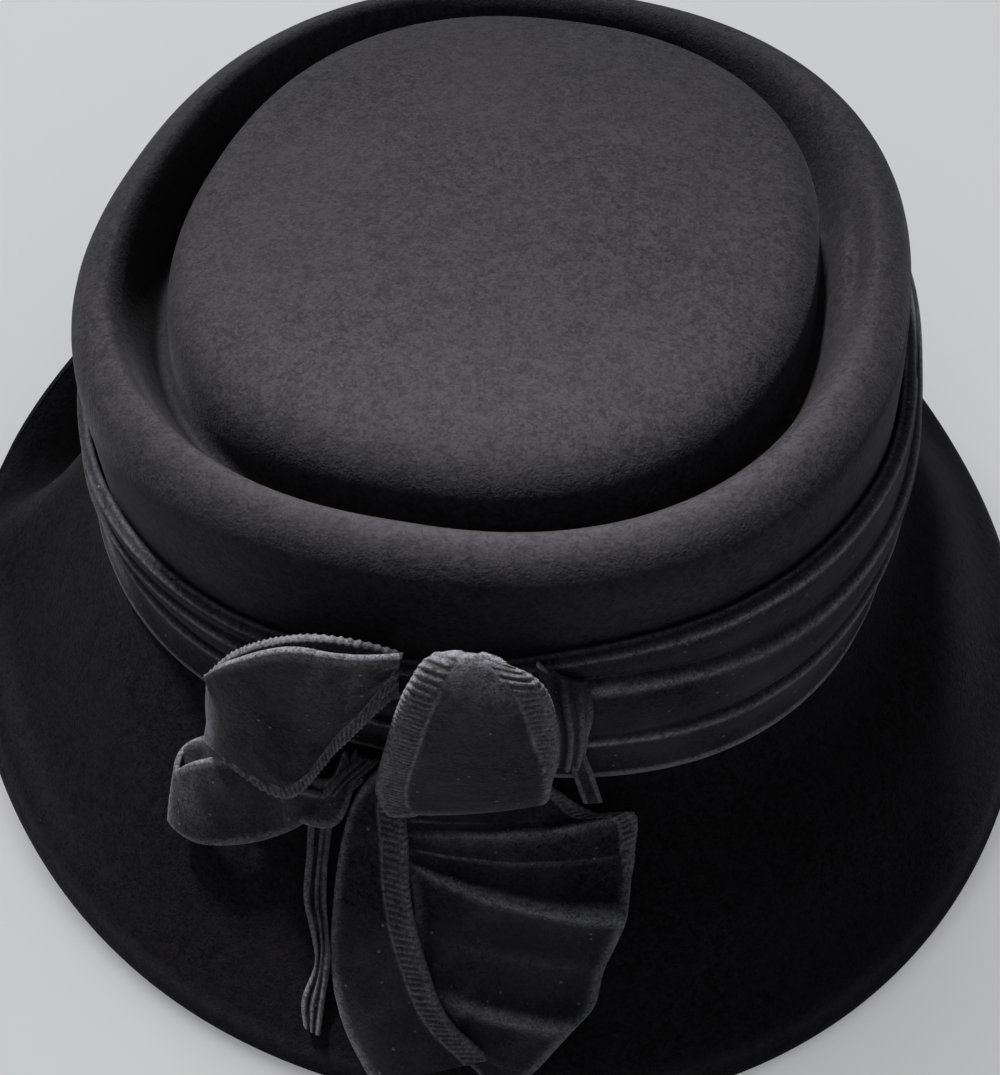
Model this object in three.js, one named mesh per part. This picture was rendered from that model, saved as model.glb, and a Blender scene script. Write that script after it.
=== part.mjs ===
import * as THREE from 'three';

// A felt cloche with a sunk tip, a draped velvet sash and a velvet bow, standing on its brim.
// Millimetres, +Z up, the front of the hat towards -Y. The origin is on the table under the
// middle of the brim. A turn is an angle round the hat in degrees: 0 is +X, 90 the back, 270 the front.

// Cloth and clearances
const feltWall = 2.6;
const velvet = 1.3;
const clearance = 0.5;

// Crown: the ridge is the rolled rim round the sunk tip
const ridgeMiddle = { x: -3.9, y: 2.2 };
const ridgeHalfWidth = 80.4;
const ridgeHalfLength = 88;
const ridgeSideWidth = 17.8;
const ridgeEndWidth = 15.6;
const ridgeHeight = 118;
const grooveDepth = 14;
const tipHeight = 122.5;
const tipRoll = 9;
const crownSquareness = 2.28;

// Foot: where the wall of the crown meets the brim, on a slanting line
const footMiddle = { x: -1.8, y: 11.2 };
const footHalfWidth = 90.5;
const footHalfLength = 98.5;
const footHeight = 51.6;
const footSlant = { x: -0.1, y: -0.1 };

// Brim
const brimHalfWidth = 134.9;
const brimFront = 138.3;
const brimBack = 135;
const brimWidest = -7.5;
const brimSquareness = 2.08;

// Segments round the hat
const segments = 64;

// The brim's section at each turn. Across is the share of the way out from the foot to the edge, and
// heights are shares of the foot's height: first a low place or the middle of a plain slope, then the edge.
const brimSections = [
  { turn: 0, across: 0.5, low: 0.56, edge: 0.15 },
  { turn: 30, across: 0.5, low: 0.38, edge: 0.15 },
  { turn: 60, across: 0.5, low: 0.06, edge: 0.34 },
  { turn: 90, across: 0.5, low: 0.0, edge: 0.5 },
  { turn: 120, across: 0.5, low: 0.0, edge: 0.56 },
  { turn: 150, across: 0.48, low: 0.12, edge: 0.6 },
  { turn: 172, across: 0.45, low: 0.32, edge: 0.6 },
  { turn: 190, across: 0.45, low: 0.78, edge: 0.56 },
  { turn: 210, across: 0.45, low: 0.82, edge: 0.33 },
  { turn: 240, across: 0.5, low: 0.68, edge: 0.06 },
  { turn: 270, across: 0.5, low: 0.62, edge: 0.0 },
  { turn: 300, across: 0.5, low: 0.6, edge: 0.0 },
  { turn: 330, across: 0.5, low: 0.58, edge: 0.03 },
];

// Lines round the tip: across is a share of the tip's oval, drop a share of the tip's roll.
const tipLines = [
  { across: 0.25, drop: 0.0 },
  { across: 0.6, drop: 0.1 },
  { across: 0.82, drop: 0.2 },
  { across: 0.92, drop: 0.38 },
  { across: 0.975, drop: 0.75 },
  { across: 1.0, drop: 1.3 },
];

// Lines round the groove and the ridge: inward is a share of the ridge's width, measured from its
// outermost line, and rise is a share of the groove's depth, measured from its bottom.
const ridgeLines = [
  { inward: 0.94, rise: 0.1 },
  { inward: 0.87, rise: 0.0 },
  { inward: 0.8, rise: 0.14 },
  { inward: 0.74, rise: 0.55 },
  { inward: 0.65, rise: 0.85 },
  { inward: 0.5, rise: 1.0 },
  { inward: 0.26, rise: 0.93 },
  { inward: 0.08, rise: 0.7 },
  { inward: 0.0, rise: 0.35 },
];

// Lines down the wall, as shares of the way from the ridge's outermost line to the foot.
const wallLines = [0.3, 0.6, 0.88];

// Lines out over the brim: across is a share of the stretch before or after the low place.
const slopeLines = [0.3, 0.65, 1.0];
const edgeLines = [0.45, 0.8, 0.94];

// The sash: how deep its folds are, how far it puffs out and the share of that at the front
const foldDepth = 2.2;
const sashPuff = 8;
const frontPuff = 0.05;

// The section of one fold, from its upper edge down.
const sashFold = [
  { along: 0.0, depth: 0.0 },
  { along: 0.12, depth: 0.95 },
  { along: 0.45, depth: 0.8 },
  { along: 0.85, depth: 0.1 },
];

// The sash's lines at each turn, as places down the wall: its top, two folds and its bottom. Puff is a
// share of the sash's greatest puff.
const sashLines = [
  { turn: 0, top: 0.27, upper: 0.43, lower: 0.62, bottom: 0.93, puff: 0.4 },
  { turn: 25, top: 0.2, upper: 0.4, lower: 0.62, bottom: 0.93, puff: 0.9 },
  { turn: 50, top: 0.22, upper: 0.44, lower: 0.66, bottom: 0.93, puff: 1 },
  { turn: 85, top: 0.32, upper: 0.5, lower: 0.7, bottom: 0.93, puff: 0.5 },
  { turn: 130, top: 0.36, upper: 0.54, lower: 0.72, bottom: 0.93, puff: 0.2 },
  { turn: 180, top: 0.36, upper: 0.56, lower: 0.76, bottom: 0.95, puff: 0.1 },
  { turn: 225, top: 0.4, upper: 0.58, lower: 0.78, bottom: 1.03, puff: 0.1 },
  { turn: 250, top: 0.42, upper: 0.56, lower: 0.78, bottom: 1.02, puff: frontPuff },
  { turn: 270, top: 0.34, upper: 0.48, lower: 0.74, bottom: 0.97, puff: frontPuff },
  { turn: 290, top: 0.19, upper: 0.33, lower: 0.7, bottom: 0.97, puff: frontPuff },
  { turn: 310, top: 0.16, upper: 0.34, lower: 0.66, bottom: 0.98, puff: 0.25 },
  { turn: 335, top: 0.18, upper: 0.38, lower: 0.63, bottom: 0.97, puff: 0.3 },
];

// How far the bow's loops stand off what they lie on, and the samples of a ribbon along and across
const bowDepth = 10;
const ribbonSteps = 2;
const ribbonSpans = 4;

// Each ribbon is a table of cross sections, one for each fold or bend. Its outer side is the one that
// has its left edge on the left where the rows run downwards. Turn and down give an edge's place on the
// felt, off its share of the bow's depth above what the ribbon lies on, and belly the middle's bulge.
const ribbonColumns = ['leftTurn', 'leftDown', 'leftOff', 'rightTurn', 'rightDown', 'rightOff', 'belly'];
const upperLoop = table(ribbonColumns, [
  [272, 0.39, 0, 272.5, 0.15, 0, 0],
  [265.5, 0.76, 0.05, 268.5, 0.11, 0.05, 0],
  [259, 0.99, 0.1, 263, 0.19, 0.15, 0],
  [253.5, 1.07, 0.3, 257, 0.35, 0.35, 0],
  [252, 1.08, 0.62, 253.5, 0.62, 0.68, 0],
  [258, 1.1, 1.05, 260, 0.2, 0.98, 0.1],
  [262.5, 1.08, 1.1, 266, 0.05, 0.92, 0.1],
  [267.5, 0.54, 0.9, 269.5, 0.06, 0.72, 0.05],
  [273, 0.19, 0.5, 273, 0.09, 0.45, 0],
]);
const lowerLoop = table(ribbonColumns, [
  [267.5, 1.21, 0.2, 267, 1.09, 0.2, 0],
  [260.5, 1.32, 0.2, 259, 1.17, 0.2, 0],
  [253, 1.43, 0, 251, 1.25, 0.05, 0],
  [249, 1.45, 0.2, 247, 1.31, 0.25, 0],
  [248, 1.43, 0.45, 247, 1.34, 0.55, 0],
  [251.5, 1.42, 0.65, 250, 1.23, 0.85, 0],
  [258, 1.35, 0.7, 256, 1.17, 0.85, 0.05],
  [262.5, 1.29, 0.6, 262, 1.14, 0.7, 0.05],
  [267, 1.2, 0.5, 267, 1.1, 0.55, 0],
]);
const frontLoop = table(ribbonColumns, [
  [273.5, 0.49, 0, 283, 0.39, 0, 0],
  [275, 0.22, 0.15, 283.5, 0.17, 0.15, 0],
  [276, 0.02, 0.42, 284, 0.02, 0.42, 0],
  [274.5, 0.13, 0.85, 286.5, 0.07, 0.85, 0.1],
  [272.5, 0.46, 1.1, 287, 0.27, 1.05, 0.1],
  [270.5, 0.86, 1.1, 286, 0.52, 1.05, 0.1],
  [271, 1.05, 0.85, 284.5, 0.79, 0.8, 0.05],
  [271, 1.03, 0.5, 284, 0.87, 0.45, 0],
  [272, 0.87, 0.3, 283.5, 0.63, 0.3, 0],
]);
const narrowTail = table(ribbonColumns, [
  [263.5, 1.22, 0, 266, 1.19, 0, 0],
  [263, 1.34, 0.05, 266, 1.33, 0, 0],
  [263.5, 1.46, 0.15, 266, 1.47, 0, 0],
  [265, 1.53, 0.2, 265.5, 1.54, 0, 0],
  [265, 1.69, 0, 266.5, 1.66, 0.1, 0],
  [264.5, 1.79, 0, 266.5, 1.78, 0, 0],
  [264.5, 1.84, 0, 266.5, 1.86, 0, 0],
]);
const middleTail = table(ribbonColumns, [
  [268.5, 1.18, 0.1, 270.5, 1.15, 0.15, 0],
  [267, 1.31, 0.05, 271, 1.26, 0.25, 0],
  [266.5, 1.51, 0, 272, 1.44, 0.3, 0],
  [267, 1.67, 0, 274, 1.58, 0.3, 0.05],
  [268.5, 1.81, 0, 276.5, 1.71, 0.25, 0.05],
  [270.5, 1.92, 0, 278.5, 1.78, 0.2, 0],
]);
const wideTail = table(ribbonColumns, [
  [271.5, 1.16, 0, 285, 1.05, 0, 0],
  [271, 1.22, 0, 290, 1.12, 0.05, 0.1],
  [272, 1.29, 0, 294, 1.2, 0.15, 0.1],
  [272.5, 1.36, 0, 294, 1.33, 0.05, 0.05],
  [273.5, 1.43, 0.1, 292.5, 1.42, 0.4, 0.1],
  [274.5, 1.5, 0.05, 291.5, 1.51, 0.1, 0],
  [275.5, 1.57, 0.05, 290.5, 1.59, 0.05, 0],
  [276.5, 1.62, 0.2, 288, 1.67, 0.35, 0.1],
  [278, 1.73, 0.05, 286.5, 1.76, 0.1, 0],
  [280, 1.82, 0, 284.5, 1.84, 0, 0],
  [281.5, 1.88, 0, 283, 1.87, 0, 0],
]);
const knot = table(ribbonColumns, [
  [288, 0.13, -0.06, 292, 0.22, -0.06, 0.2],
  [287.5, 0.28, -0.06, 291.5, 0.33, -0.06, 0.2],
  [287, 0.5, -0.06, 291, 0.56, -0.06, 0.2],
  [287, 0.76, -0.06, 289.5, 0.8, -0.06, 0.15],
]);
const tuck = table(ribbonColumns, [
  [287.5, 0.84, -0.1, 289, 0.85, -0.1, 0],
  [288, 0.93, -0.1, 289.5, 0.93, -0.1, 0],
  [289, 1.03, -0.1, 290.5, 1.03, -0.1, 0],
]);

function table(columns, rows) {
  return rows.map((row) => Object.fromEntries(columns.map((column, i) => [column, row[i]])));
}

function oval(turn, middle, halfWidth, front, back, squareness) {
  const angle = THREE.MathUtils.degToRad(turn);
  const c = Math.cos(angle);
  const s = Math.sin(angle);
  const power = 2 / squareness;
  const reach = s < 0 ? front : back;
  return new THREE.Vector2(
    middle.x + halfWidth * Math.sign(c) * Math.abs(c) ** power,
    middle.y + reach * Math.sign(s) * Math.abs(s) ** power,
  );
}

// A column of a table that goes round the hat, smoothly between its rows.
function around(table, column, turn) {
  const t = ((turn % 360) + 360) % 360;
  const count = table.length;
  let next = table.findIndex((row) => row.turn > t);
  if (next < 0) next = count;
  const row = (i) => {
    const wraps = Math.floor(i / count);
    const entry = table[i - wraps * count];
    return { turn: entry.turn + 360 * wraps, value: entry[column] };
  };
  const [a, b, c, d] = [next - 2, next - 1, next, next + 1].map(row);
  const span = c.turn - b.turn;
  const slopeB = ((c.value - a.value) / (c.turn - a.turn)) * span;
  const slopeC = ((d.value - b.value) / (d.turn - b.turn)) * span;
  const u = (t - b.turn) / span;
  const u2 = u * u;
  const u3 = u2 * u;
  return (2 * u3 - 3 * u2 + 1) * b.value + (u3 - 2 * u2 + u) * slopeB
    + (3 * u2 - 2 * u3) * c.value + (u3 - u2) * slopeC;
}

const lift = (flat, height) => new THREE.Vector3(flat.x, flat.y, height);

// The felt's outer line from the middle of the tip to the edge of the brim, at one turn.
function feltLine(turn) {
  const middle = new THREE.Vector2(ridgeMiddle.x, ridgeMiddle.y);
  const ridge = oval(turn, ridgeMiddle, ridgeHalfWidth, ridgeHalfLength, ridgeHalfLength, crownSquareness);
  const tipHalfLength = ridgeHalfLength - ridgeEndWidth;
  const tip = oval(turn, ridgeMiddle, ridgeHalfWidth - ridgeSideWidth, tipHalfLength, tipHalfLength,
    crownSquareness);
  const foot = oval(turn, footMiddle, footHalfWidth, footHalfLength, footHalfLength, crownSquareness);
  const edge = oval(turn, { x: 0, y: brimWidest }, brimHalfWidth, brimFront + brimWidest,
    brimBack - brimWidest, brimSquareness);
  const footZ = footHeight + footSlant.x * foot.x + footSlant.y * foot.y;
  const grooveZ = ridgeHeight - grooveDepth;
  const across = around(brimSections, 'across', turn);
  const low = foot.clone().lerp(edge, across);
  const lowZ = footHeight * around(brimSections, 'low', turn);
  const edgeZ = footHeight * around(brimSections, 'edge', turn);

  const points = [lift(middle, tipHeight)];
  for (const line of tipLines) {
    points.push(lift(middle.clone().lerp(tip, line.across), tipHeight - tipRoll * line.drop));
  }
  for (const line of ridgeLines) {
    points.push(lift(ridge.clone().lerp(tip, line.inward), grooveZ + grooveDepth * line.rise));
  }
  const top = points[points.length - 1];
  const bottom = lift(foot, footZ);
  for (const share of wallLines) {
    points.push(top.clone().lerp(bottom, share));
  }
  for (const share of slopeLines) {
    points.push(lift(foot.clone().lerp(low, share), THREE.MathUtils.lerp(footZ, lowZ, share)));
  }
  for (const share of edgeLines) {
    points.push(lift(low.clone().lerp(edge, share), THREE.MathUtils.lerp(lowZ, edgeZ, share)));
  }
  points.push(lift(edge, edgeZ));
  return new THREE.CatmullRomCurve3(points, false, 'centripetal');
}

const ridgeRow = tipLines.length + ridgeLines.length;
const edgeRow = ridgeRow + wallLines.length + slopeLines.length + edgeLines.length + 1;

// The outer line's row for a place given as down: 0 is the ridge's outermost line, 1 the foot and 2 the edge.
function rowDown(turn, down) {
  const across = around(brimSections, 'across', turn);
  const stops = [
    0,
    ...wallLines,
    ...slopeLines.map((share) => 1 + across * share),
    ...edgeLines.map((share) => 1 + across + (1 - across) * share),
    2,
  ];
  let i = stops.findIndex((stop) => stop > down) - 1;
  if (i < 0) i = stops.length - 2;
  return ridgeRow + i + (down - stops[i]) / (stops[i + 1] - stops[i]);
}

// A point of the felt's outer side at a turn and a row of the line, moved outwards along its normal.
function feltPoint(turn, row, out) {
  const at = (t, r) => feltLine(t).getPoint(THREE.MathUtils.clamp(r / edgeRow, 0, 1));
  const point = at(turn, row);
  if (out === 0) return point;
  const step = 0.05;
  const low = Math.max(row - step, 0.02);
  const high = Math.min(row + step, edgeRow);
  const along = at(turn, high).sub(at(turn, low));
  const round = at(turn + step, Math.max(row, 0.1)).sub(at(turn - step, Math.max(row, 0.1)));
  const normal = along.cross(round).normalize();
  return point.addScaledVector(normal, out);
}

const spot = (turn, down, out) => feltPoint(turn, rowDown(turn, down), out);

// A closed mesh through rings of points. Rings that are one point close it like a pole, a list that
// wraps runs back to its first ring, and other ends are closed by a fan.
function loft(rings, wraps = false) {
  const points = [];
  const faces = [];
  const starts = rings.map((ring) => {
    const start = points.length;
    points.push(...ring);
    return start;
  });
  const size = Math.max(...rings.map((ring) => ring.length));
  const index = (i, j) => starts[i] + (rings[i].length === 1 ? 0 : j % size);
  const last = wraps ? rings.length : rings.length - 1;
  for (let i = 0; i < last; i += 1) {
    const k = (i + 1) % rings.length;
    for (let j = 0; j < size; j += 1) {
      const [a, b, c, d] = [index(i, j), index(i, j + 1), index(k, j + 1), index(k, j)];
      if (a !== b) faces.push(a, b, c);
      if (c !== d) faces.push(a, c, d);
    }
  }
  const ends = wraps ? [] : [0, rings.length - 1];
  for (const i of ends) {
    if (rings[i].length === 1) continue;
    for (let j = 1; j < size - 1; j += 1) {
      const [a, b, c] = [index(i, 0), index(i, j), index(i, j + 1)];
      faces.push(...(i === 0 ? [a, c, b] : [a, b, c]));
    }
  }
  let volume = 0;
  for (let i = 0; i < faces.length; i += 3) {
    const [a, b, c] = faces.slice(i, i + 3).map((f) => points[f]);
    volume += a.dot(b.clone().cross(c));
  }
  if (volume < 0) {
    for (let i = 0; i < faces.length; i += 3) {
      [faces[i], faces[i + 1]] = [faces[i + 1], faces[i]];
    }
  }
  const geometry = new THREE.BufferGeometry();
  geometry.setAttribute('position', new THREE.Float32BufferAttribute(points.flatMap((p) => p.toArray()), 3));
  geometry.setIndex(faces);
  return geometry;
}

const turns = Array.from({ length: segments }, (_, i) => (360 * i) / segments);

// The felt: out along its outer side to the brim's edge, round the edge, and back along its inner side.
function feltGeometry() {
  const ring = (row, out) => turns.map((turn) => feltPoint(turn, row, out));
  const lines = Array.from({ length: edgeRow }, (_, i) => i + 1);
  const footRow = ridgeRow + wallLines.length + 0.5;
  const rows = [...lines, footRow].sort((a, b) => a - b);
  const tipUnderside = feltLine(0).getPoint(0).setZ(tipHeight - feltWall);
  return loft([
    [feltLine(0).getPoint(0)],
    ...rows.map((row) => ring(row, 0)),
    ...lines.toReversed().map((row) => ring(row, -feltWall)),
    [tipUnderside],
  ]);
}

// The sash: a ring of draped cloth. Going down, each fold steps out over the one above and then draws in.
function sashGeometry() {
  const folds = [['top', 'upper'], ['upper', 'lower'], ['lower', 'bottom']];
  return loft(turns.map((turn) => {
    const at = (column) => around(sashLines, column, turn);
    const puff = (down) => {
      const share = (down - at('top')) / (at('bottom') - at('top'));
      return sashPuff * at('puff') * Math.sin(Math.PI * share ** 0.8) ** 2;
    };
    const point = (down, out) => spot(turn, down, clearance + out + puff(down));
    const outside = folds.flatMap(([start, end]) => {
      const from = at(start);
      const span = at(end) - from;
      return sashFold.map(({ along, depth }) => point(from + span * along, velvet + foldDepth * depth));
    });
    const inside = [1, 0.67, 0.33, 0].map((share) => (
      point(THREE.MathUtils.lerp(at('top'), at('bottom'), share), 0)
    ));
    return [...outside, point(at('bottom'), velvet * 0.5), ...inside];
  }), true);
}

// A ribbon through its table's cross sections, lying at a given height over the felt at its lowest.
function ribbonGeometry(rows, base) {
  const lefts = rows.map((row) => spot(row.leftTurn, row.leftDown, base + bowDepth * row.leftOff));
  const rights = rows.map((row) => spot(row.rightTurn, row.rightDown, base + bowDepth * row.rightOff));
  const middles = rows.map((row, i) => {
    const along = lefts[Math.min(i + 1, rows.length - 1)].clone().sub(lefts[Math.max(i - 1, 0)]);
    const outward = along.cross(rights[i].clone().sub(lefts[i])).normalize();
    const turn = (row.leftTurn + row.rightTurn) / 2;
    const down = (row.leftDown + row.rightDown) / 2;
    const off = (row.leftOff + row.rightOff) / 2;
    return spot(turn, down, base + bowDepth * off).addScaledVector(outward, bowDepth * row.belly);
  });
  const [left, middle, right] = [lefts, middles, rights].map((points) => (
    new THREE.CatmullRomCurve3(points, false, 'centripetal')
  ));
  const stations = (rows.length - 1) * ribbonSteps;
  const at = (i, j) => {
    const t = THREE.MathUtils.clamp(i / stations, 0, 1);
    const s = j / ribbonSpans;
    return left.getPoint(t).multiplyScalar((1 - s) * (1 - 2 * s))
      .addScaledVector(middle.getPoint(t), 4 * s * (1 - s))
      .addScaledVector(right.getPoint(t), s * (2 * s - 1));
  };
  const under = (i, j) => {
    const along = at(i + 0.5, j).sub(at(i - 0.5, j));
    const outward = along.cross(at(i, j + 0.5).sub(at(i, j - 0.5))).normalize();
    return at(i, j).addScaledVector(outward, -velvet);
  };
  const across = Array.from({ length: ribbonSpans + 1 }, (_, j) => j);
  return loft(Array.from({ length: stations + 1 }, (_, i) => [
    ...across.map((j) => at(i, j)),
    ...across.toReversed().map((j) => under(i, j)),
  ]));
}

const felt = new THREE.MeshStandardMaterial({ color: 0x1a181b, roughness: 0.95, metalness: 0 });
const velvetCloth = new THREE.MeshStandardMaterial({ color: 0x121014, roughness: 0.9, metalness: 0 });

const hat = new THREE.Group();

function add(name, geometry, material) {
  const mesh = new THREE.Mesh(geometry, material.clone());
  mesh.name = name;
  hat.add(mesh);
}

add('felt_body', feltGeometry(), felt);
add('velvet_sash', sashGeometry(), velvetCloth);

// The loops' hidden halves rest on the sash or on the felt. What lies flat does so on its underside.
const onFelt = clearance;
const onSash = clearance + velvet + foldDepth + frontPuff * sashPuff + clearance;
const ribbons = {
  bow_loop_upper: [upperLoop, onSash],
  bow_loop_lower: [lowerLoop, onFelt],
  bow_loop_front: [frontLoop, onSash],
  bow_tail_narrow: [narrowTail, onFelt + velvet],
  bow_tail_middle: [middleTail, onFelt + velvet],
  bow_tail_wide: [wideTail, onFelt + velvet],
  bow_knot: [knot, onSash + velvet],
  bow_tuck: [tuck, onSash + velvet],
};
for (const [name, [rows, base]] of Object.entries(ribbons)) {
  add(name, ribbonGeometry(rows, base), velvetCloth);
}

// The hat stands on the table with the middle of its box over the origin.
const box = new THREE.Box3().setFromObject(hat);
const centre = box.getCenter(new THREE.Vector3());
hat.position.set(-centre.x, -centre.y, -box.min.z);

export default hat;
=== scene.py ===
import math

import bpy
import numpy as np
from bpy.props import FloatProperty, FloatVectorProperty, IntProperty, PointerProperty
from mathutils import Matrix, Vector


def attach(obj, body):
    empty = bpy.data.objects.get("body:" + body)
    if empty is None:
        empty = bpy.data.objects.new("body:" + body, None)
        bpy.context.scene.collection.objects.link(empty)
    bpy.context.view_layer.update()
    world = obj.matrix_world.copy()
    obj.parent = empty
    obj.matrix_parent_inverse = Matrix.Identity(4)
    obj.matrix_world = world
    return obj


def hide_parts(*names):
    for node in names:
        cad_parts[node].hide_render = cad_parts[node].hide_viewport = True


bl_info = {
    "name": "Velvet-trimmed Cloche Hat",
    "version": (1, 0, 0),
    "blender": (4, 5, 0),
    "location": "View3D > Sidebar > Cloche Hat",
    "description": "Models a felt cloche with a sunk tip, a draped velvet sash and a velvet bow",
    "category": "Add Mesh",
}

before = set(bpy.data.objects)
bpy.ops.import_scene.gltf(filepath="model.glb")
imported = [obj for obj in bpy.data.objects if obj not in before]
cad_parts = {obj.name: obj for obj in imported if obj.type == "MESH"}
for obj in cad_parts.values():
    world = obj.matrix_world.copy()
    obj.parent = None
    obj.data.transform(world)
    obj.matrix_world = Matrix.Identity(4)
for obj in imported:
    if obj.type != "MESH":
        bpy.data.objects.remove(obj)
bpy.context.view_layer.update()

# The tables below hold millimetres, degrees and shares. A turn is an angle round the hat: 0 is +X, 90 the
# back and 270 the front. The meshes are made from them and then set over the origin, in metres.
MM = 0.001
STAND = np.array([0.296, 0.483, 3.185])

# Crown: the ridge is the rolled rim round the sunk tip
RIDGE_MIDDLE = (-3.9, 2.2)
RIDGE_HALF_WIDTH = 80.4
RIDGE_HALF_LENGTH = 88.0
RIDGE_SIDE_WIDTH = 17.8
RIDGE_END_WIDTH = 15.6
RIDGE_HEIGHT = 118.0
GROOVE_DEPTH = 14.0
TIP_HEIGHT = 122.5
TIP_ROLL = 9.0
CROWN_SQUARENESS = 2.28

# Foot of the crown, on a slanting line
FOOT_MIDDLE = (-1.8, 11.2)
FOOT_HALF_WIDTH = 90.5
FOOT_HALF_LENGTH = 98.5
FOOT_HEIGHT = 51.6
FOOT_SLANT = (-0.1, -0.1)

# Brim
BRIM_HALF_WIDTH = 134.9
BRIM_FRONT = 138.3
BRIM_BACK = 135.0
BRIM_WIDEST = -7.5
BRIM_SQUARENESS = 2.08

# How far the sash's cloth and the ribbons stand clear of what they lie on
CLEARANCE = 0.5


def table(columns, rows):
    """Rows of numbers as one array for each named column."""
    return dict(zip(columns.split(), np.array(rows, float).T))


# The brim's section at each turn: how far out its low place lies, and two shares of the foot's height
BRIM_SECTIONS = table("turn across low edge", [
    (0, 0.5, 0.56, 0.15),
    (30, 0.5, 0.38, 0.15),
    (60, 0.5, 0.06, 0.34),
    (90, 0.5, 0.0, 0.5),
    (120, 0.5, 0.0, 0.56),
    (150, 0.48, 0.12, 0.6),
    (172, 0.45, 0.3, 0.6),
    (184, 0.45, 0.36, 0.58),
    (191, 0.45, 0.62, 0.55),
    (196.5, 0.45, 0.86, 0.5),
    (210, 0.45, 0.82, 0.33),
    (240, 0.5, 0.68, 0.06),
    (270, 0.5, 0.62, 0.0),
    (300, 0.5, 0.6, 0.0),
    (330, 0.5, 0.58, 0.03),
])

# Lines round the tip, as shares of its oval and of its roll
TIP_LINES = table("across drop", [
    (0.25, 0.0),
    (0.6, 0.1),
    (0.82, 0.2),
    (0.92, 0.38),
    (0.975, 0.75),
    (1.0, 1.3),
])

# Lines round the groove and the ridge, as shares of the ridge's width and of the groove's depth. Crease and
# steep are what a line rises by besides, in the small crease of the groove's right side and on the groove's
# left side, which falls off sooner and steeper.
RIDGE_LINES = table("inward rise crease steep", [
    (0.94, 0.1, 0, 0),
    (0.87, 0.0, 0, 0),
    (0.8, 0.14, 0.36, -0.14),
    (0.74, 0.55, 0.08, -0.48),
    (0.65, 0.85, -0.22, -0.5),
    (0.5, 1.0, 0, 0),
    (0.26, 0.93, 0, 0),
    (0.08, 0.7, 0, 0),
    (0.0, 0.35, 0, 0),
])

# Middle turn and half width of the steep left side and of the crease
STEEP_SIDE = (188, 84)
SIDE_CREASE = (2, 15)

# Lines down the wall and out over the brim's two stretches, with each edge line's share of the edge's roll
WALL_LINES = (0.3, 0.6, 0.88)
SLOPE_LINES = (0.3, 0.65, 1.0)
EDGE_LINES = (0.45, 0.8, 0.94)
EDGE_BULGES = (0.3, 1.0, 0.62)
BRIM_ROLL = 2.4

# The sash: the section of a fold, its lines as places down the wall, and its puff
SASH_FOLD_DEPTH = 1.6
SASH_PUFF = 8.0
SASH_TURNS = 480
SASH_FOLD_SAMPLES = 22
SASH_FOLD = table("along rise", [
    (0, 0),
    (0.05, 0.72),
    (0.11, 0.98),
    (0.2, 1.0),
    (0.45, 0.82),
    (0.8, 0.22),
    (1, 0),
])
SASH_LINES = table("turn top upper lower bottom puff", [
    (0, 0.27, 0.43, 0.62, 0.93, 0.4),
    (25, 0.2, 0.4, 0.62, 0.93, 0.9),
    (50, 0.22, 0.44, 0.66, 0.93, 1.0),
    (85, 0.32, 0.5, 0.7, 0.93, 0.5),
    (130, 0.36, 0.54, 0.72, 0.93, 0.2),
    (180, 0.36, 0.56, 0.76, 0.95, 0.1),
    (225, 0.4, 0.58, 0.78, 1.03, 0.1),
    (250, 0.42, 0.56, 0.78, 1.02, 0.05),
    (270, 0.34, 0.48, 0.74, 0.97, 0.05),
    (290, 0.19, 0.33, 0.7, 0.97, 0.05),
    (310, 0.16, 0.34, 0.66, 0.98, 0.25),
    (335, 0.18, 0.38, 0.63, 0.97, 0.3),
])

# Middle turn and half width of the sash's flat left side and of its loose back, and of the two stretches
# where the painted sheen on its folds is dimmer
SASH_FLAT_SIDE = (212, 60)
SASH_LOOSE_BACK = (95, 115)
SASH_DIM_SHEEN_LEFT = (210, 55)
SASH_DIM_SHEEN_BACK = (105, 95)

# Where the ribbons lie: over the bare felt or over the sash
ON_FELT = CLEARANCE
ON_SASH = 4.9
BOW_DEPTH = 10.0

# Each ribbon's cross sections, one for each fold or bend. Turn, counted from the bow's middle, and down give
# an edge's place on the felt, off is its share of the bow's depth above what the ribbon lies on, and belly
# the middle's bulge.
BOW_TURN = 270
RIBBON_COLUMNS = "left_turn left_down left_off right_turn right_down right_off belly"
UPPER_LOOP = table(RIBBON_COLUMNS, [
    (-3, 0.65, 0, 2.5, 0.16, 0, 0),
    (-9, 0.98, 0.05, -1, 0.1, 0.1, 0),
    (-14, 1.07, 0.1, -5.5, 0.12, 0.2, 0),
    (-18, 1.1, 0.3, -13, 0.34, 0.35, 0),
    (-18.5, 1.08, 0.6, -16, 0.5, 0.7, 0.05),
    (-15.5, 1.05, 0.95, -10.5, 0.17, 0.95, 0.1),
    (-8, 1.08, 1.05, -3.5, -0.04, 1, 0.1),
    (-2, 0.54, 0.95, 0.5, -0.03, 0.85, 0.05),
    (3, 0.17, 0.6, 3.5, 0.02, 0.55, 0),
])
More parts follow.
